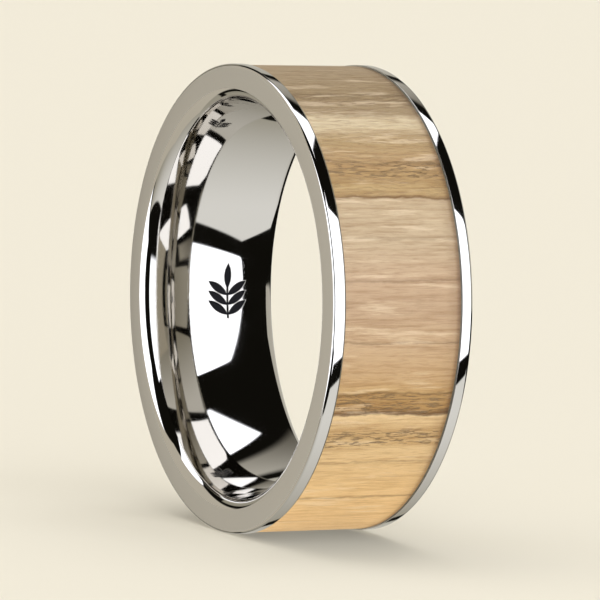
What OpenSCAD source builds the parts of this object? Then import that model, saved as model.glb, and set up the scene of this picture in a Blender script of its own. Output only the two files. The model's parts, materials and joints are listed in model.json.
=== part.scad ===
// Wedding band: polished metal sleeve with a turned wood ring let into it.
// Millimetres. The band stands on its edge: its axis is Y, +Z is up, and the
// origin is the centre of the finger bore. The front face looks along -Y.

/* [Band] */
// Outer diameter over the rims
outer_d = 24.7; // [24.5:0.1:28]
// Width of the band along its axis
band_w = 8; // [7:0.1:10]
// Width of each metal rim beside the wood
rim_w = 0.63; // [0.5:0.01:1.2]
// Radius on the outer edge of each rim
edge_r = 0.17; // [0.05:0.01:0.3]
// Radius on the edge of each rim next to the wood
lip_r = 0.02; // [0.01:0.01:0.02]

/* [Finger bore] */
// Bore diameter at the narrowest place, in the middle of the band
bore_d = 20.2; // [17:0.1:20.4]
// Width of the straight land in the middle of the bore
land_w = 0.8; // [0.4:0.1:2]
// How far the comfort-fit mouth opens out, measured on the radius
flare = 0.95; // [0.8:0.01:1]
// Radius of the rounded mouth between the comfort arc and the side face
mouth_r = 0.85; // [0.6:0.01:0.9]
// Angle of the edge where the rounded mouth meets the side face
mouth_edge_angle = 20; // [15:1:25]

/* [Wood inlay] */
// Depth of the channel below the rims
channel_depth = 0.95; // [0.8:0.01:0.95]
// How far the finished inlay lies below the rims
inlay_recess = 0.03; // [0.03:0.01:0.1]
// Thickness of the clear sealing coat
coat_t = 0.03; // [0.03:0.01:0.08]
// Thickness of the adhesive under the wood
bed_t = 0.05; // [0.04:0.01:0.08]
// Thickness of the adhesive line on each side of the wood
side_line_t = 0.08; // [0.05:0.01:0.12]

/* [Rear rim joint] */
// Depth of the step in the sleeve that the rear rim sits on
seat_step = 0.15; // [0.12:0.01:0.15]
// Thickness of the bonding film between the rear rim and its seat
bond_t = 0.05; // [0.04:0.01:0.06]
// How far the bonding film stops short of the side face
bond_recess = 0.03; // [0.02:0.01:0.05]

/* [Engraved sprig] */
// Depth of the engraving
mark_depth = 0.08; // [0.05:0.01:0.12]
// Length of the sprig's stem
stem_l = 3; // [2:0.1:3.2]
// Width of the stem
stem_w = 0.11; // [0.08:0.01:0.2]
// Length of one leaf
leaf_l = 1.4; // [0.8:0.05:1.4]
// Width of one leaf
leaf_w = 0.42; // [0.3:0.01:0.5]
// Angle between a leaf and the stem
leaf_angle = 56; // [30:1:60]
// Number of leaf pairs below the end leaf
leaf_pairs = 3; // [1:1:3]
// Place of the sprig's middle along the band's axis
mark_y = 0.9; // [0:0.1:1.2]
// Turn of the sprig's middle below the level of the axis
mark_drop = 3; // [0:1:10]

/* [Hidden] */

$fn = 180;
over = 0.1;

metal_colour = [0.80, 0.78, 0.73];
wood_colour = [0.80, 0.64, 0.45];
adhesive_colour = [0.35, 0.29, 0.20];
coat_colour = [0.93, 0.88, 0.76, 0.4];

outer_r = outer_d / 2;
half_w = band_w / 2;
bore_r = bore_d / 2;
half_land = land_w / 2;
face_inner_r = bore_r + flare;

// The mouth arc starts at the side face, mouth_edge_angle away from tangent.
mouth_y = half_w - mouth_r * cos(mouth_edge_angle);
mouth_centre_r = face_inner_r + mouth_r * sin(mouth_edge_angle);

// The comfort arc starts level with the land and runs into the mouth arc
// without a corner: comfort_angle is its slope where the two arcs meet.
arc_run = mouth_y - half_land;
arc_rise = mouth_centre_r - mouth_r - bore_r;
comfort_angle = 2 * atan(arc_rise / arc_run);
comfort_r = arc_run / sin(comfort_angle) + mouth_r;
arc_end_y = half_land + comfort_r * sin(comfort_angle);

channel_r = outer_r - channel_depth;
channel_half_w = half_w - rim_w;
coat_top_r = outer_r - inlay_recess;
wood_top_r = coat_top_r - coat_t;
wood_bottom_r = channel_r + bed_t;
wood_half_w = channel_half_w - side_line_t;
seat_r = channel_r - seat_step;
rear_rim_inner_r = seat_r + bond_t;

// ---- helpers ----

// Turns a half section (radius, place along the axis) about the band's axis.
module turned() {
  rotate([-90, 0, 0]) rotate_extrude() children();
}

// Half section of a plain ring.
module ring_section(inner_r, outer_r, y0, y1) {
  translate([inner_r, y0]) square([outer_r - inner_r, y1 - y0]);
}

// What a radius takes off a corner of a section. The corner is at [x, y], and
// the outside lies towards +x and towards y_side.
module corner_waste(x, y, r, y_side) {
  translate([x, y]) difference() {
    translate([-r, y_side > 0 ? -r : -over]) square(r + over);
    translate([-r, -y_side * r]) circle(r);
  }
}

// Half section of the metal on one side of the middle of the bore, with its
// inner outline moved out by deeper.
module comfort_metal(deeper) {
  wall = outer_r + over - bore_r;
  translate([bore_r + deeper, 0]) square([wall, half_land]);
  intersection() {
    translate([bore_r, half_land]) square([wall, arc_end_y - half_land]);
    translate([bore_r + deeper + comfort_r, half_land]) circle(comfort_r, $fn = 720);
  }
  intersection() {
    translate([bore_r, arc_end_y]) square([flare + deeper, half_w - arc_end_y]);
    translate([mouth_centre_r + deeper, mouth_y]) circle(mouth_r);
  }
  translate([face_inner_r + deeper, arc_end_y]) square([wall, half_w - arc_end_y]);
}

// The space inside the bore, with its wall moved out by deeper.
module bore_space(deeper) {
  turned() difference() {
    ring_section(0, face_inner_r + deeper, -half_w, half_w);
    comfort_metal(deeper);
    mirror([0, 1]) comfort_metal(deeper);
  }
}

// A pointed leaf along +y, from the origin: two arcs that cross at its ends.
module leaf(length, width) {
  arc_r = (length * length + width * width) / (4 * width);
  translate([0, length / 2]) intersection() {
    translate([arc_r - width / 2, 0]) circle(arc_r);
    translate([width / 2 - arc_r, 0]) circle(arc_r);
  }
}

// The sprig, flat, growing along +y with its middle at the origin.
module sprig() {
  pitch = (stem_l - leaf_l) / leaf_pairs;
  translate([-stem_w / 2, -stem_l / 2]) square([stem_w, stem_l - leaf_l / 2]);
  translate([0, stem_l / 2 - leaf_l]) leaf(leaf_l, leaf_w);
  for (i = [0 : leaf_pairs - 1], side = [-1, 1])
    translate([0, -stem_l / 2 + (i + 0.35) * pitch])
      rotate(side * leaf_angle) leaf(leaf_l, leaf_w);
}

// The sprig as a cutter that reaches mark_depth into the wall of the bore.
module sprig_cut() {
  intersection() {
    rotate([0, -mark_drop, 0]) translate([-bore_r - over, mark_y, 0])
      rotate([90, 0, 90]) linear_extrude(bore_r / 2) sprig();
    bore_space(mark_depth);
  }
}

// ---- sub-parts ----

// Inner sleeve with the front rim in one piece, and a step for the rear rim.
module sleeve() {
  color(metal_colour) difference() {
    turned() difference() {
      intersection() {
        union() {
          comfort_metal(0);
          mirror([0, 1]) comfort_metal(0);
        }
        union() {
          ring_section(bore_r, outer_r, -half_w, -channel_half_w);
          ring_section(bore_r, channel_r, -half_w, channel_half_w);
          ring_section(bore_r, seat_r, -half_w, half_w);
        }
      }
      corner_waste(outer_r, -half_w, edge_r, -1);
      corner_waste(outer_r, -channel_half_w, lip_r, 1);
    }
    sprig_cut();
  }
}

// Separate rim that closes the channel once the wood is on.
module rear_rim() {
  color(metal_colour) turned() difference() {
    ring_section(rear_rim_inner_r, outer_r, channel_half_w, half_w);
    corner_waste(outer_r, half_w, edge_r, 1);
    corner_waste(outer_r, channel_half_w, lip_r, -1);
  }
}

// Turned wood ring, its grain along the band's axis.
module wood_inlay() {
  color(wood_colour) turned()
    ring_section(wood_bottom_r, wood_top_r, -wood_half_w, wood_half_w);
}

// Adhesive bed under the wood and the glue line on each side of it.
module inlay_adhesive() {
  color(adhesive_colour) turned() {
    ring_section(channel_r, wood_bottom_r, -channel_half_w, channel_half_w);
    ring_section(channel_r, wood_top_r, -channel_half_w, -wood_half_w);
    ring_section(channel_r, wood_top_r, wood_half_w, channel_half_w);
  }
}

// Film that bonds the rear rim to its seat on the sleeve.
module rim_bond() {
  color(adhesive_colour) turned()
    ring_section(seat_r, rear_rim_inner_r, channel_half_w, half_w - bond_recess);
}

// Clear coat that seals the wood and both glue lines.
module clear_coat() {
  color(coat_colour) turned()
    ring_section(wood_top_r, coat_top_r, -channel_half_w, channel_half_w);
}

sleeve();
rear_rim();
wood_inlay();
inlay_adhesive();
rim_bond();
clear_coat();
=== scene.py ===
"""Looks of a wedding band: polished metal with a turned wood ring let into it."""
import json
import math
from collections import namedtuple

import bmesh
import bpy
from mathutils import Matrix, Quaternion, Vector, noise

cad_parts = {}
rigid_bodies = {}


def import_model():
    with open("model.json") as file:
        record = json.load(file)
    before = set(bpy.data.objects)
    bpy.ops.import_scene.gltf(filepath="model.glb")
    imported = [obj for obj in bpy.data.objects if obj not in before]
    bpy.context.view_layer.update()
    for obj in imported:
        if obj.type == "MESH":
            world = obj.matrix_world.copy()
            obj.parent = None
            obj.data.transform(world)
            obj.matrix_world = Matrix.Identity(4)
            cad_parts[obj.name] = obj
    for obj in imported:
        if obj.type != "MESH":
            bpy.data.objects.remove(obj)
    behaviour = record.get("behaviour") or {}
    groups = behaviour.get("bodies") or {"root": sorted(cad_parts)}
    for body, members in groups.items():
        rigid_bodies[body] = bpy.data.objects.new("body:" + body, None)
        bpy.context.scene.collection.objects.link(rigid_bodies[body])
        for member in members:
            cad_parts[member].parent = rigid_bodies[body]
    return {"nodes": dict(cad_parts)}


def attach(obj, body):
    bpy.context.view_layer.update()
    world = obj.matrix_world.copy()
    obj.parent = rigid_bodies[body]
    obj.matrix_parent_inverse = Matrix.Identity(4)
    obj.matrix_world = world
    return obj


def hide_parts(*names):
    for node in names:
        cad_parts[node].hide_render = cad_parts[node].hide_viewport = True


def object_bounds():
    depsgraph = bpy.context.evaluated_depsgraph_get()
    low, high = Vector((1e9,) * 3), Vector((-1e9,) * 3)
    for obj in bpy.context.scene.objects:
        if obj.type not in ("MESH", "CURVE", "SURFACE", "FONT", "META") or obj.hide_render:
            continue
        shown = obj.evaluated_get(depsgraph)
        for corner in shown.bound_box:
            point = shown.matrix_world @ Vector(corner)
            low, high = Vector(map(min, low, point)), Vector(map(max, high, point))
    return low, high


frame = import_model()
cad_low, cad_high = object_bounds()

MM = 0.001
BODY = "root"
scene = bpy.context.scene

# ---- sizes, in millimetres ----


def reach(node):
    """(smallest radius, largest radius, lowest y, highest y) of a CAD node."""
    points = [v.co / MM for v in frame["nodes"][node].data.vertices]
    radii = [math.hypot(p.x, p.z) for p in points]
    return min(radii), max(radii), min(p.y for p in points), max(p.y for p in points)


BORE_R, OUTER_R, _, HALF_W = reach("sleeve")
WOOD_IN_R, WOOD_TOP_R, _, WOOD_HALF_W = reach("wood_inlay")
CHANNEL_R, _, _, CHANNEL_HALF_W = reach("inlay_adhesive")
_, COAT_TOP_R, _, _ = reach("clear_coat")
RIM_IN_R, _, _, _ = reach("rear_rim")
SEAT_R, _, _, BOND_END_Y = reach("rim_bond")

MOUTH_R = 0.85            # rounded mouth between the comfort dome and the side face
MOUTH_EDGE_ANGLE = math.radians(20)
FLARE = 0.95              # how far the bore opens out from its middle to the side face
EDGE_R = 0.17             # outer edge of each rim
LIP_R = 0.02              # edge of each rim beside the wood
FACE_IN_R = BORE_R + FLARE

GRAIN_DEPTH = 0.02        # deepest open grain in the wood
COAT_GAP = 0.003          # between the wood and the coat, so that their faces don't coincide

MARK_DEPTH = 0.08         # engraved sprig, as in the CAD
MARK_Y = 0.9
MARK_DROP = math.radians(3)
STEM_L, STEM_W = 3.0, 0.11
LEAF_L, LEAF_W = 1.4, 0.42
LEAF_ANGLE = math.radians(56)
LEAF_PAIRS = 3

# ---- mesh helpers ----


def new_object(name, mesh):
    obj = bpy.data.objects.new(name, mesh)
    scene.collection.objects.link(obj)
    return obj


def arc(centre_r, centre_y, radius, start, end, steps):
    """Points (radius, y) along an arc. Angles are in degrees: 0 is outwards, 90 is +y."""
    angles = [math.radians(start + (end - start) * i / steps) for i in range(steps + 1)]
    return [(centre_r + radius * math.cos(a), centre_y + radius * math.sin(a)) for a in angles]


def line(a, b, steps=1):
    """Points from a up to b, without b."""
    return [(a[0] + (b[0] - a[0]) * i / steps, a[1] + (b[1] - a[1]) * i / steps)
            for i in range(steps)]


def even_turn(steps):
    return [2 * math.pi * i / steps for i in range(steps)]


def on_band(radius, y, turn):
    """The point in metres at that radius and y. Turn 0 is +X, and a quarter turn is +Z."""
    return Vector((radius * math.cos(turn), y, radius * math.sin(turn))) * MM


def lathe(name, outline, turns):
    """Turns a closed outline of (radius, y) points about the band's axis."""
    mesh = bpy.data.meshes.new(name)
    points = [on_band(r, y, t) for t in turns for r, y in outline]
    n, m = len(outline), len(turns)
    faces = [(j * n + i, j * n + (i + 1) % n, (j + 1) % m * n + (i + 1) % n, (j + 1) % m * n + i)
             for j in range(m) for i in range(n)]
    mesh.from_pydata(points, [], faces)
    outwards(mesh)
    return new_object(name, mesh)


def outwards(mesh):
    work = bmesh.new()
    work.from_mesh(mesh)
    bmesh.ops.remove_doubles(work, verts=work.verts, dist=1e-8)
    bmesh.ops.recalc_face_normals(work, faces=work.faces)
    work.to_mesh(mesh)
    work.free()


def smooth_with_corners(obj, corner=15):
    """Smooth shading that keeps true corners sharp and flat faces flat."""
    obj.data.shade_smooth()
    obj.data.set_sharp_from_angle(angle=math.radians(corner))
    weighted = obj.modifiers.new("weighted_normals", "WEIGHTED_NORMAL")
    weighted.keep_sharp = True


def place(obj, node, slot_name, *materials):
    """Gives a finished piece its materials and its place in the frame."""
    obj.data.materials.clear()
    for material in materials:
        obj.data.materials.append(material)
    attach(obj, BODY)
    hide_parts(node)
    return obj


# ---- the bore's profile ----

MOUTH_Y = HALF_W - MOUTH_R * math.cos(MOUTH_EDGE_ANGLE)
MOUTH_CENTRE_R = FACE_IN_R + MOUTH_R * math.sin(MOUTH_EDGE_ANGLE)
DOME_TURN = 2 * math.atan2(MOUTH_CENTRE_R - MOUTH_R - BORE_R, MOUTH_Y)
DOME_R = MOUTH_Y / math.sin(DOME_TURN) + MOUTH_R
DOME_CENTRE_R = BORE_R + DOME_R


def dome_radius(y):
    """The bore's radius at y, between the two mouths."""
    return DOME_CENTRE_R - math.sqrt(DOME_R ** 2 - y ** 2)


def bore_outline():
    """The bore from the rear face to the front face, both mouths included."""
    dome = math.degrees(DOME_TURN)
    edge = 90 - math.degrees(MOUTH_EDGE_ANGLE)
    rear = arc(MOUTH_CENTRE_R, MOUTH_Y, MOUTH_R, 180 - edge, 180 - dome, 18)
    middle = arc(DOME_CENTRE_R, 0, DOME_R, 180 - dome, 180 + dome, 40)
    front = arc(MOUTH_CENTRE_R, -MOUTH_Y, MOUTH_R, 180 + dome, 180 + edge, 18)
    return rear[:-1] + middle[:-1] + front


# ---- the engraved sprig ----

HALO = 0.035              # how far the frosted edge reaches round the engraving
HALO_DEPTH = 0.012
CUTTER_RISE = 0.15        # how far a cutter stands out of the metal
LEAF_TIP = 0.004          # half width that a leaf keeps at its ends
ON_SURFACE = 0.004        # a face closer to the dome than this is part of it
LOBES, LEAF_ROWS = (-1, -0.5, 0, 0.5, 1), 18


def leaf_grid(length, width):
    """Rows of points over a leaf that grows along +y from the origin, its outline two arcs."""
    arc_r = (length ** 2 + width ** 2) / (4 * width)
    rows = []
    for i in range(LEAF_ROWS + 1):
        along = length * (i / LEAF_ROWS - 0.5)
        half = max(math.sqrt(arc_r ** 2 - along ** 2) - arc_r + width / 2, LEAF_TIP)
        rows.append([Vector((half * u, along + length / 2)) for u in LOBES])
    return rows


def sprig_grids(extra):
    """The stem and the leaves, flat, each made wider by extra all round."""
    low, high = -STEM_L / 2 - extra, STEM_L / 2 - LEAF_L / 2
    half = STEM_W / 2 + extra
    stem_ys = [low + (high - low) * i / LEAF_ROWS for i in range(LEAF_ROWS + 1)]
    stem = [[Vector((half * u, y)) for u in (-1, 0, 1)] for y in stem_ys]
    leaf = leaf_grid(LEAF_L + 2 * extra, LEAF_W + 2 * extra)
    grids = [stem, [[p + Vector((0, STEM_L / 2 - LEAF_L - extra)) for p in row] for row in leaf]]
    pitch = (STEM_L - LEAF_L) / LEAF_PAIRS
    for i in range(LEAF_PAIRS):
        foot = Vector((0, -STEM_L / 2 + (i + 0.35) * pitch))
        for side in (-1, 1):
            turn = Matrix.Rotation(side * LEAF_ANGLE, 2)
            grids.append([[foot + turn @ (p - Vector((0, extra))) for p in row] for row in leaf])
    return grids


def on_bore(flat, deeper):
    """A point of the flat sprig laid on the bore, or deeper into the metal."""
    y = MARK_Y + flat.x
    radius = dome_radius(y) + deeper
    return on_band(radius, y, math.pi + MARK_DROP - math.asin(flat.y / radius))


def sprig_cutters(extra, depth):
    """One closed cutter for the stem and one for each leaf, in a collection."""
    cutters = bpy.data.collections.new("sprig_cutters")
    for grid in sprig_grids(extra):
        rows, wide = len(grid), len(grid[0])
        layers = (depth, -CUTTER_RISE)
        points = [on_bore(p, deeper) for deeper in layers for row in grid for p in row]

        def at(layer, i, j):
            return (layer * rows + i) * wide + j

        faces = [(at(layer, i, j), at(layer, i + 1, j), at(layer, i + 1, j + 1), at(layer, i, j + 1))
                 for layer in (0, 1) for i in range(rows - 1) for j in range(wide - 1)]
        faces += [(at(0, i, j), at(0, i + 1, j), at(1, i + 1, j), at(1, i, j))
                  for i in range(rows - 1) for j in (0, wide - 1)]
        faces += [(at(0, i, j), at(0, i, j + 1), at(1, i, j + 1), at(1, i, j))
                  for j in range(wide - 1) for i in (0, rows - 1)]
        mesh = bpy.data.meshes.new("sprig_cutter")
        mesh.from_pydata(points, [], faces)
        outwards(mesh)
        cutters.objects.link(bpy.data.objects.new("sprig_cutter", mesh))
    return cutters


def cut_away(obj, cutters):
    cut = obj.modifiers.new("cut", "BOOLEAN")
    cut.operand_type, cut.collection = "COLLECTION", cutters
    cut.operation, cut.solver = "DIFFERENCE", "EXACT"
    seen = obj.evaluated_get(bpy.context.evaluated_depsgraph_get())
    mesh = bpy.data.meshes.new_from_object(seen)
    obj.modifiers.clear()
    obj.data = mesh
    for cutter in list(cutters.objects):
        bpy.data.objects.remove(cutter)
    bpy.data.collections.remove(cutters)


def colour_the_mark(sleeve):
    """Material 1 on the engraving's floor and walls, material 2 on its frosted edge."""
    for face in sleeve.data.polygons:
        x, y, z = face.center / MM
        if x > -0.9 * BORE_R or abs(z) > STEM_L or abs(y - MARK_Y) > 2:
            continue
        below = math.hypot(x, z) - dome_radius(y)
        if HALO_DEPTH + ON_SURFACE < below < 1.25 * MARK_DEPTH:
            face.material_index = 1
        elif ON_SURFACE < below <= HALO_DEPTH + ON_SURFACE:
            face.material_index = 2


def true_bore_normals(sleeve):
    """Gives the dome its exact normals, so that the engraving doesn't ripple the polish."""
    seen = sleeve.evaluated_get(bpy.context.evaluated_depsgraph_get())
    mesh = bpy.data.meshes.new_from_object(seen)
    sleeve.modifiers.clear()
    sleeve.data = mesh
    normals = [corner.vector.copy() for corner in mesh.corner_normals]
    dome_end = DOME_R * math.sin(DOME_TURN)
    for face in mesh.polygons:
        x, y, z = face.center / MM
        if abs(y) > dome_end or math.hypot(x, z) > dome_radius(y) + ON_SURFACE:
            continue
        for corner in face.loop_indices:
            p = mesh.vertices[mesh.loops[corner].vertex_index].co / MM
            radius = math.hypot(p.x, p.z)
            inwards = (radius - DOME_CENTRE_R) / radius
            normals[corner] = Vector((p.x * inwards, p.y, p.z * inwards)).normalized()
    mesh.normals_split_custom_set(normals)


# ---- pieces ----


def dense_turns():
    """Turns round the band, much closer beside the engraved sprig."""
    coarse, fine, reach_deg = 1.5, 0.25, 12
    middle = 180 + math.degrees(MARK_DROP)
    turns, at = [], middle - 180
    while at < middle + 180 - 1e-6:
        turns.append(math.radians(at))
        at += fine if abs(at + 1e-6 - middle) < reach_deg else coarse
    return turns


def make_sleeve():
    face, rim_y, wall_y = -HALF_W, -CHANNEL_HALF_W, CHANNEL_HALF_W
    outline = bore_outline()
    outline += line((FACE_IN_R, face), (OUTER_R - EDGE_R, face))[1:]
    outline += arc(OUTER_R - EDGE_R, face + EDGE_R, EDGE_R, -90, 0, 9)
    outline += arc(OUTER_R - LIP_R, rim_y - LIP_R, LIP_R, 0, 90, 9)
    outline += [(CHANNEL_R, rim_y), (CHANNEL_R, wall_y), (SEAT_R, wall_y), (SEAT_R, HALF_W)]
    return lathe("band_sleeve", outline, dense_turns())


def make_rear_rim():
    outline = [(RIM_IN_R, HALF_W), (RIM_IN_R, CHANNEL_HALF_W)]
    outline += arc(OUTER_R - LIP_R, CHANNEL_HALF_W + LIP_R, LIP_R, -90, 0, 9)
    outline += arc(OUTER_R - EDGE_R, HALF_W - EDGE_R, EDGE_R, 0, 90, 9)
    return lathe("band_rear_rim", outline, even_turn(360))


def make_ring(name, inner, outer, low_y, high_y, turns=360, steps=1):
    outline = line((inner, high_y), (inner, low_y)) + line((inner, low_y), (outer, low_y))
    outline += line((outer, low_y), (outer, high_y), steps) + [(outer, high_y)]
    return lathe(name, outline, even_turn(turns))


OPEN_BANDS = ((6.1, 7.9), (-5.1, -4.0))     # heights of the most open earlywood


def open_the_grain(wood):
    """Sinks the open grain of the turned surface a few micrometres, deeper in the earlywood."""
    for vertex in wood.data.vertices:
        x, y, z = vertex.co / MM
        if math.hypot(x, z) < WOOD_TOP_R - 0.01 or abs(y) > WOOD_HALF_W - 0.01:
            continue
        open_grain = max(noise.noise(Vector((x * 3.1, y * 0.5, z * 3.1))), 0)
        early = 1 if any(low < z < high for low, high in OPEN_BANDS) else 0.45
        inwards = 1 - GRAIN_DEPTH * open_grain * early / WOOD_TOP_R
        vertex.co = Vector((x * inwards, y, z * inwards)) * MM


def make_adhesive():
    low, high, top = CHANNEL_HALF_W, WOOD_HALF_W, WOOD_TOP_R
    outline = [(CHANNEL_R, low), (CHANNEL_R, -low), (top, -low), (top, -high),
               (WOOD_IN_R, -high), (WOOD_IN_R, high), (top, high), (top, low)]
    return lathe("band_adhesive", outline, even_turn(360))


# ---- node helper ----


class Graph:
    """A node tree that is built one node at a time."""

    def __init__(self, tree):
        self.tree = tree
        tree.nodes.clear()

    def node(self, kind, inputs=None, **settings):
        """Adds a node. An input is a plain value or another node's output."""
        made = self.tree.nodes.new(kind)
        for name, value in settings.items():
            setattr(made, name, value)
        for name, value in (inputs or {}).items():
            if isinstance(value, bpy.types.NodeSocket):
                self.tree.links.new(value, made.inputs[name])
            else:
                made.inputs[name].default_value = value
        return made

    def math(self, operation, a, b=0.0):
        return self.node("ShaderNodeMath", {0: a, 1: b}, operation=operation).outputs[0]

    def dot(self, a, b):
        made = self.node("ShaderNodeVectorMath", {0: a, 1: b}, operation="DOT_PRODUCT")
        return made.outputs["Value"]

    def step(self, value, low, high, to_low=0.0, to_high=1.0):
        """Eases from one number to another as value goes from low to high."""
        sockets = {"Value": value, "From Min": low, "From Max": high,
                   "To Min": to_low, "To Max": to_high}
        made = self.node("ShaderNodeMapRange", sockets, interpolation_type="SMOOTHSTEP")
        return made.outputs["Result"]

    def noise(self, vector, detail=2.0, roughness=0.5):
        sockets = {"Vector": vector, "Scale": 1.0, "Detail": detail, "Roughness": roughness}
        return self.node("ShaderNodeTexNoise", sockets).outputs["Fac"]

    def millimetres(self):
        """Place on the object in millimetres, as a vector and as its x, y and z."""
        metres = self.node("ShaderNodeTexCoord").outputs["Object"]
        place_mm = self.node("ShaderNodeVectorMath", {0: metres, "Scale": 1 / MM}, operation="SCALE")
        parts = self.node("ShaderNodeSeparateXYZ", {0: place_mm.outputs[0]}).outputs
        return place_mm.outputs[0], parts

    def stretched(self, vector, scales, turn=(0, 0, 0)):
        sockets = {"Vector": vector, "Scale": scales, "Rotation": turn}
        return self.node("ShaderNodeMapping", sockets).outputs[0]

    def ramp(self, factor, stops):
        """Colour by factor, from (place, colour) stops."""
        made = self.node("ShaderNodeValToRGB", {"Fac": factor})
        band = made.color_ramp.elements
        while len(band) < len(stops):
            band.new(1.0)
        for element, (at, colour) in zip(band, stops):
            element.position, element.color = at, colour
        return made.outputs["Color"]

    def bump(self, height, depth_mm, strength=1.0, after=None):
        sockets = {"Height": height, "Distance": depth_mm * MM, "Strength": strength}
        if after:
            sockets["Normal"] = after
        return self.node("ShaderNodeBump", sockets).outputs[0]

    def mix(self, factor, a, b, blend="MIX"):
        sockets = {"Factor": factor, 6: a, 7: b}
        made = self.node("ShaderNodeMix", sockets, data_type="RGBA", blend_type=blend)
        return made.outputs[2]


def srgb(red, green, blue):
    """A display colour from 0 to 255 as a linear RGBA colour."""
    def linear(c):
        c /= 255
        return c / 12.92 if c <= 0.04045 else ((c + 0.055) / 1.055) ** 2.4
    return (linear(red), linear(green), linear(blue), 1.0)


# ---- studio ----

# A panel is a flat card or softbox, seen from the band's centre. It faces the
# band from an azimuth (0 is +Y, 90 is +X) and an elevation. Its edges and its
# corner radius are tangents from that direction, and soft is the width of the
# blur along its edge. Its colour goes over to far_colour along fade.
Panel = namedtuple("Panel", "azimuth elevation left right bottom top colour "
                            "soft corner roll far_colour fade",
                   defaults=(0.04, 0.03, 0, None, (0, 0)))

WHITE = (2.5, 2.6, 2.9, 1)
DARK = (0.007, 0.0065, 0.005, 1)
CREAM = srgb(242, 235, 217)

PANELS = {
    "table": Panel(22, -90, -1.2, 0.95, -2.0, 2.0, (0.46, 0.44, 0.37, 1), soft=0.06,
                   far_colour=(1.06, 1.07, 1.07, 1), fade=(0.42, 0.30)),
    "backdrop": Panel(-14, 0, -1.15, 1.0, -0.08, 0.50, (0.66, 0.64, 0.58, 1)),
    "left_wall": Panel(-75, 0, -0.51, 0.55, -0.7, 0.58, (0.40, 0.38, 0.31, 1),
                       far_colour=(0.62, 0.60, 0.54, 1), fade=(1.0, 0)),
    "front_wall": Panel(-125, 0, -0.78, 0.33, -1.7, 1.7, (0.69, 0.65, 0.56, 1), soft=0.05),
    "upper_card": Panel(-42, 44, -0.36, 0.36, -0.24, 0.17, (0.68, 0.66, 0.60, 1), soft=0.1,
                        roll=-16, far_colour=(0.10, 0.09, 0.07, 1), fade=(0.9, 0.5)),
    "front_box": Panel(184, 0, -0.6, 0.29, -0.45, 0.68, WHITE),
    "side_box": Panel(105, 0, -0.36, 0.31, -0.36, 1.25, WHITE, soft=0.1),
    "key_box": Panel(111, 0, -1.92, -0.4, -0.66, 1.64, WHITE, corner=0.1),
    "top_box": Panel(37, 90, -0.571, 0.042, -0.447, 0.75, WHITE, soft=0.03),
}


def panel_mask(g, direction, panel):
    """1 where the direction meets the panel, easing to 0 over its soft edge."""
    a, e = math.radians(panel.azimuth), math.radians(panel.elevation)
    forward = Vector((math.sin(a) * math.cos(e), math.cos(a) * math.cos(e), math.sin(e)))
    right = Quaternion(-forward, math.radians(panel.roll)) @ Vector((math.cos(a), -math.sin(a), 0))
    ahead = g.dot(direction, tuple(forward))
    across = g.math("DIVIDE", g.dot(direction, tuple(right)), ahead)
    along = g.math("DIVIDE", g.dot(direction, tuple(right.cross(forward))), ahead)
    inset = []
    for place_on, low, high in ((across, panel.left, panel.right), (along, panel.bottom, panel.top)):
        from_middle = g.math("ABSOLUTE", g.math("SUBTRACT", place_on, (low + high) / 2))
        inset.append(g.math("SUBTRACT", from_middle, (high - low) / 2 - panel.corner))
    beyond = [g.math("MAXIMUM", side, 0.0) for side in inset]
    round_part = g.math("SQRT", g.math("ADD", *[g.math("MULTIPLY", b, b) for b in beyond]))
    flat_part = g.math("MINIMUM", g.math("MAXIMUM", *inset), 0.0)
    edge = g.math("ADD", round_part, flat_part)
    mask = g.step(edge, panel.corner, panel.corner - panel.soft)
    mask = g.math("MULTIPLY", mask, g.math("GREATER_THAN", ahead, 0.01))
    tilt = [g.math("MULTIPLY", place_on, f) for place_on, f in zip((across, along), panel.fade)]
    shade = g.step(g.math("ADD", *tilt), -0.5, 0.5)
    return mask, g.mix(shade, panel.colour, panel.far_colour or panel.colour)


def make_world():
    scene.world = bpy.data.worlds.new("studio")
    scene.world.use_nodes = True
    g = Graph(scene.world.node_tree)
    direction = g.node("ShaderNodeTexCoord").outputs["Generated"]
    light = DARK
    for panel in PANELS.values():
        mask, colour = panel_mask(g, direction, panel)
        light = g.mix(mask, light, colour)
    seen = g.node("ShaderNodeLightPath").outputs["Is Camera Ray"]
    background = g.node("ShaderNodeBackground", {"Color": g.mix(seen, light, CREAM)})
    g.node("ShaderNodeOutputWorld", {"Surface": background.outputs[0]})


FLOOR_HALF = 1.5          # metres
FLOOR_PAPER = (0.654, 0.600, 0.475, 1)
FLOOR_GLOW = 0.28         # share of its own light, as on a backlit table: it keeps the shadow pale


def make_floor():
    mesh = bpy.data.meshes.new("floor")
    signs = ((-1, -1), (1, -1), (1, 1), (-1, 1))
    corners = [(x * FLOOR_HALF, y * FLOOR_HALF, cad_low.z) for x, y in signs]
    mesh.from_pydata(corners, [], [(0, 1, 2, 3)])
    floor = new_object("floor", mesh)
    material = bpy.data.materials.new("floor_paper")
    material.use_nodes = True
    g = Graph(material.node_tree)
    paper = g.node("ShaderNodeBsdfDiffuse", {"Color": FLOOR_PAPER})
    glow = g.node("ShaderNodeEmission", {"Color": CREAM, "Strength": 1.0})
    lit = g.node("ShaderNodeMixShader", {0: FLOOR_GLOW, 1: paper.outputs[0], 2: glow.outputs[0]})
    g.node("ShaderNodeOutputMaterial", {"Surface": lit.outputs[0]})
    mesh.materials.append(material)
    floor.visible_glossy = False
    floor.visible_shadow = False


def make_lamp(name, energy, spread, turn):
    """A wide, soft sun that the metal doesn't show. Without a turn it shines straight down."""
    light = bpy.data.lights.new(name, "SUN")
    light.energy, light.angle = energy, math.radians(spread)
    lamp = new_object(name, light)
    lamp.rotation_euler = turn
    lamp.visible_glossy = False


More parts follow.
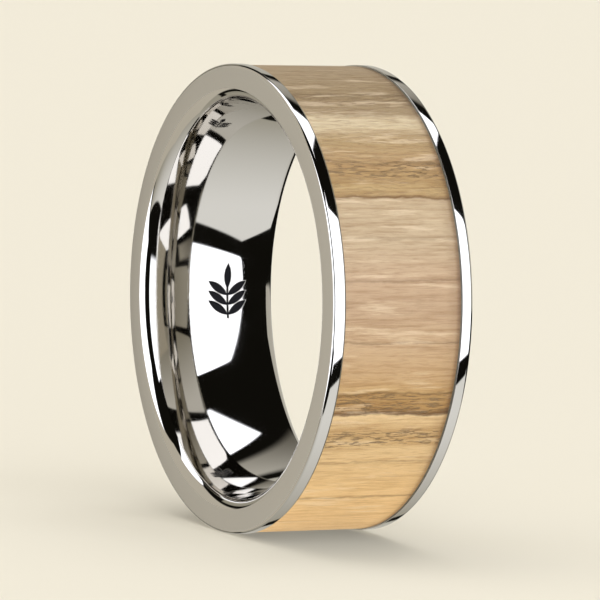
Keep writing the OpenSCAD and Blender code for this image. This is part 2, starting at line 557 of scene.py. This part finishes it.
VIEW_AZIMUTH = math.radians(63.285)
VIEW_ELEVATION = math.radians(5)
VIEW_ROLL = math.radians(1.88)
VIEW_DISTANCE = 22 * OUTER_R * MM
AIM_RIGHT, AIM_DOWN = 0.24 * MM, 0.1 * MM
FOCAL_LENGTH = 308.3      # on a 36 mm sensor


def make_camera():
    data = bpy.data.cameras.new("camera")
    data.lens = FOCAL_LENGTH
    data.clip_start, data.clip_end = 0.01, 10
    camera = new_object("camera", data)
    flat, rise = math.cos(VIEW_ELEVATION), math.sin(VIEW_ELEVATION)
    back = Vector((math.sin(VIEW_AZIMUTH) * flat, -math.cos(VIEW_AZIMUTH) * flat, rise))
    turn = (-back).to_track_quat("-Z", "Y") @ Quaternion((0, 0, 1), VIEW_ROLL)
    camera.rotation_mode = "QUATERNION"
    camera.rotation_quaternion = turn
    camera.location = back * VIEW_DISTANCE + turn @ Vector((AIM_RIGHT, -AIM_DOWN, 0))
    scene.camera = camera


# ---- materials ----


def new_material(name):
    material = bpy.data.materials.new(name)
    material.use_nodes = True
    return material, Graph(material.node_tree)


HAIRLINE_TURNS = ((0.3, 0.9, 0.2), (1.1, 0.2, 2.0), (2.2, 2.6, 0.7))


def polished_metal():
    """Mirror polish with a little haze and hairlines, and a satin finish on both side faces."""
    material, g = new_material("polished_white_gold")
    place_mm, _ = g.millimetres()
    haze = g.noise(g.stretched(place_mm, (0.5, 0.5, 0.5)), 3.0)
    normal = None
    for turn in HAIRLINE_TURNS:
        hairs = g.noise(g.stretched(place_mm, (24, 24, 0.7), turn), 1.0)
        normal = g.bump(g.step(hairs, 0.66, 0.70), 0.00012, 0.4, normal)
    surface = g.node("ShaderNodeNewGeometry").outputs["True Normal"]
    facing = g.node("ShaderNodeSeparateXYZ", {0: surface}).outputs["Y"]
    side_face = g.step(g.math("ABSOLUTE", facing), 0.98, 0.995)
    polish = g.step(haze, 0.3, 0.7, 0.02, 0.055)
    roughness = g.math("ADD", polish, g.math("MULTIPLY", side_face, 0.26))
    shader = g.node("ShaderNodeBsdfPrincipled", {
        "Base Color": (0.605, 0.58, 0.535, 1), "Metallic": 1.0, "Normal": normal,
        "Roughness": roughness})
    g.node("ShaderNodeOutputMaterial", {"Surface": shader.outputs[0]})
    return material


def laser_black():
    material, g = new_material("laser_darkened_metal")
    place_mm, _ = g.millimetres()
    pits = g.noise(g.stretched(place_mm, (30, 30, 30)), 3.0, 0.6)
    shader = g.node("ShaderNodeBsdfPrincipled", {
        "Base Color": g.mix(pits, (0.002, 0.002, 0.003, 1), (0.012, 0.011, 0.014, 1)),
        "Metallic": 0.2, "Roughness": 0.6, "Specular IOR Level": 0.2, "Normal": g.bump(pits, 0.01)})
    g.node("ShaderNodeOutputMaterial", {"Surface": shader.outputs[0]})
    return material


def laser_frost():
    material, g = new_material("laser_frosted_metal")
    place_mm, _ = g.millimetres()
    grain = g.noise(g.stretched(place_mm, (40, 40, 40)), 2.0)
    shader = g.node("ShaderNodeBsdfPrincipled", {
        "Base Color": (0.60, 0.57, 0.51, 1), "Metallic": 1.0, "Normal": g.bump(grain, 0.004),
        "Roughness": g.step(grain, 0.3, 0.7, 0.4, 0.6)})
    g.node("ShaderNodeOutputMaterial", {"Surface": shader.outputs[0]})
    return material


# The board that the wood was turned from, by height in mm: growth rings lie flat across it, each
# with dark porous earlywood that ends at a sharp line. These colours also carry painted light and
# shade: the top of the ring is painted darker and the bottom painted lighter than the wood's own
# tone.
WOOD_LAYERS_AND_PAINTED_LIGHT = [
    (12.3, srgb(152, 131, 99)), (11.0, srgb(138, 116, 80)), (10.1, srgb(150, 128, 92)),
    (10.0, srgb(192, 173, 137)), (9.43, srgb(192, 172, 134)), (9.13, srgb(175, 150, 108)),
    (8.8, srgb(163, 137, 93)), (8.1, srgb(169, 140, 97)), (7.8, srgb(162, 131, 87)),
    (7.48, srgb(170, 138, 91)), (6.87, srgb(162, 132, 86)), (6.56, srgb(178, 150, 102)),
    (6.22, srgb(175, 146, 100)), (6.1, srgb(124, 93, 55)), (6.03, srgb(183, 160, 125)),
    (3.9, srgb(187, 164, 130)), (2.1, srgb(187, 158, 124)), (0.6, srgb(183, 154, 120)),
    (-1.3, srgb(190, 160, 122)), (-3.0, srgb(188, 155, 111)), (-3.6, srgb(190, 156, 106)),
    (-3.8, srgb(172, 136, 84)), (-4.6, srgb(168, 131, 79)), (-4.92, srgb(92, 60, 30)),
    (-5.0, srgb(220, 190, 142)), (-5.8, srgb(190, 156, 106)), (-6.5, srgb(195, 161, 109)),
    (-6.85, srgb(212, 180, 130)), (-8.9, srgb(222, 185, 129)), (-12.3, srgb(243, 201, 142)),
]
# Thin dark growth lines between them: height and depth of shade.
WOOD_LINES = [(11.0, 0.35), (9.15, 0.35), (7.8, 0.55), (7.4, 0.5), (4.1, 0.35), (2.05, 0.4),
              (-1.15, 0.45), (-3.8, 0.55), (-7.6, 0.5), (-9.6, 0.45)]
# Bands of open pores: lowest and highest height.
WOOD_PORES = [(7.1, 7.9), (-4.95, -3.8), (-6.6, -5.8), (10.6, 11.1)]
WOOD_REACH = 12.4
PLAIN = (1, 1, 1, 1)


def board_ramp(g, height, layers):
    """Colour by height in the board, from (height, colour) layers, highest first."""
    thick = 2 * WOOD_REACH
    place_on = g.math("DIVIDE", g.math("SUBTRACT", WOOD_REACH, height), thick)
    return g.ramp(place_on, [((WOOD_REACH - at) / thick, colour) for at, colour in layers])


def growth_lines():
    """Layers that darken the board at each growth line."""
    layers = [(WOOD_REACH, PLAIN)]
    for at, depth in WOOD_LINES:
        shade = 1 - depth
        dark = (shade, shade * 0.94, shade * 0.86, 1)
        layers += [(at + 0.1, PLAIN), (at, dark), (at - 0.06, PLAIN)]
    return layers


def inlay_wood():
    material, g = new_material("turned_ash")
    place_mm, (_, y, z) = g.millimetres()
    wander = g.noise(g.stretched(place_mm, (0.25, 0.35, 0.35)), 3.0)
    height = g.math("ADD", z, g.step(wander, 0.2, 0.8, -0.1, 0.1))
    ragged = g.noise(g.stretched(place_mm, (1.5, 1.1, 1.5)), 3.0, 0.6)
    height = g.math("ADD", height, g.step(ragged, 0.2, 0.8, -0.06, 0.06))
    # Grain colours by height, with painted shade on the top of the ring and painted light on its
    # bottom.
    colour = board_ramp(g, height, WOOD_LAYERS_AND_PAINTED_LIGHT)
    lines = board_ramp(g, height, growth_lines())
    colour = g.mix(g.step(ragged, 0.25, 0.5), colour, lines, "MULTIPLY")

    fibre = g.noise(g.stretched(place_mm, (5.5, 0.25, 5.5)), 4.0, 0.62)
    colour = g.mix(g.step(fibre, 0.52, 0.36, 0.0, 0.36), colour, (0.60, 0.48, 0.34, 1), "MULTIPLY")
    streak = g.noise(g.stretched(place_mm, (2.4, 0.22, 2.4)), 4.0, 0.6)
    colour = g.mix(g.step(streak, 0.54, 0.68, 0.0, 0.32), colour, (0.84, 0.67, 0.45, 1))
    fine = g.noise(g.stretched(place_mm, (13, 1.0, 13)), 3.0, 0.6)
    colour = g.mix(g.step(fine, 0.50, 0.33, 0.0, 0.32), colour, (0.58, 0.46, 0.33, 1), "MULTIPLY")

    early = g.step(height, 5.9, 6.2, 0.12, 0.35)
    for low, high in WOOD_PORES:
        above = g.step(height, low - 0.03, low + 0.03)
        below = g.step(height, high + 0.2, high - 0.2)
        early = g.math("MAXIMUM", early, g.math("MULTIPLY", above, below))
    dashes = g.noise(g.stretched(place_mm, (12, 1.5, 12)), 3.0, 0.6)
    pores = g.math("MULTIPLY", g.step(dashes, 0.53, 0.60), early)
    colour = g.mix(g.math("MULTIPLY", pores, 0.8), colour, (0.20, 0.125, 0.055, 1))
    # Painted shade: the wood is darkened over its last millimetre before the rear rim, where the rim
    # shades it.
    painted_rim_shade = g.math("ADD", g.step(y, 2.3, 3.3, 0.0, 0.3), g.step(y, 2.95, 3.32, 0.0, 0.6))
    colour = g.mix(painted_rim_shade, colour, (0.36, 0.28, 0.20, 1), "MULTIPLY")

    grain = g.math("SUBTRACT", g.math("ADD", fibre, g.math("MULTIPLY", fine, 0.6)), pores)
    shader = g.node("ShaderNodeBsdfPrincipled", {
        "Base Color": colour, "Roughness": g.step(fibre, 0.3, 0.7, 0.62, 0.48),
        "Specular IOR Level": 0.25, "Normal": g.bump(grain, 0.06, 0.8)})
    g.node("ShaderNodeOutputMaterial", {"Surface": shader.outputs[0]})
    return material


def adhesive():
    material, g = new_material("cured_resin")
    place_mm, _ = g.millimetres()
    cloud = g.noise(g.stretched(place_mm, (2.5, 6, 2.5)), 3.0, 0.6)
    shader = g.node("ShaderNodeBsdfPrincipled", {
        "Base Color": g.mix(cloud, (0.03, 0.026, 0.014, 1), (0.15, 0.13, 0.08, 1)),
        "Roughness": g.step(cloud, 0.3, 0.7, 0.25, 0.45), "Normal": g.bump(cloud, 0.01)})
    g.node("ShaderNodeOutputMaterial", {"Surface": shader.outputs[0]})
    return material


def clear_coat():
    material, g = new_material("clear_satin_coat")
    place_mm, _ = g.millimetres()
    ripple = g.noise(g.stretched(place_mm, (1.6, 0.5, 1.6)), 3.0, 0.6)
    clear = g.node("ShaderNodeBsdfTransparent")
    gloss = g.node("ShaderNodeBsdfAnisotropic", {
        "Color": (1, 1, 1, 1), "Roughness": g.step(ripple, 0.3, 0.7, 0.34, 0.48),
        "Normal": g.bump(ripple, 0.01)})
    outside = g.math("SUBTRACT", 1.0, g.node("ShaderNodeNewGeometry").outputs["Backfacing"])
    fresnel = g.node("ShaderNodeFresnel", {"IOR": 1.3}).outputs[0]
    share = g.math("MULTIPLY", g.math("MINIMUM", g.math("MULTIPLY", fresnel, 0.6), 0.02), outside)
    mixed = g.node("ShaderNodeMixShader", {0: share, 1: clear.outputs[0], 2: gloss.outputs[0]})
    g.node("ShaderNodeOutputMaterial", {"Surface": mixed.outputs[0]})
    return material


# ---- build ----

scene.view_settings.view_transform = "Standard"
make_camera()
make_world()
make_floor()
make_lamp("overhead", 1.57, 90, (0, 0, 0))
make_lamp("light_table", 1.9, 90, (math.radians(165), 0, math.radians(-27)))

metal = polished_metal()
glue = adhesive()
sleeve = make_sleeve()
cut_away(sleeve, sprig_cutters(HALO, HALO_DEPTH))
cut_away(sleeve, sprig_cutters(0, MARK_DEPTH))
smooth_with_corners(sleeve)
place(sleeve, "sleeve", "polished_metal", metal, laser_black(), laser_frost())
colour_the_mark(sleeve)
true_bore_normals(sleeve)
rear_rim = make_rear_rim()
smooth_with_corners(rear_rim)
place(rear_rim, "rear_rim", "polished_metal", metal)
wood = make_ring("band_wood_inlay", WOOD_IN_R, WOOD_TOP_R, -WOOD_HALF_W, WOOD_HALF_W,
                 turns=900, steps=32)
open_the_grain(wood)
wood.visible_diffuse = False    # so that it doesn't colour the floor
smooth_with_corners(wood)
place(wood, "wood_inlay", "inlay_wood", inlay_wood())
bed = make_adhesive()
smooth_with_corners(bed)
place(bed, "inlay_adhesive", "adhesive", glue)
bond = make_ring("band_rim_bond", SEAT_R, RIM_IN_R, CHANNEL_HALF_W, BOND_END_Y)
smooth_with_corners(bond)
place(bond, "rim_bond", "adhesive", glue)
coat = make_ring("band_clear_coat", WOOD_TOP_R + COAT_GAP, COAT_TOP_R,
                 -CHANNEL_HALF_W, CHANNEL_HALF_W)
smooth_with_corners(coat)
place(coat, "clear_coat", "sealing_coat", clear_coat())
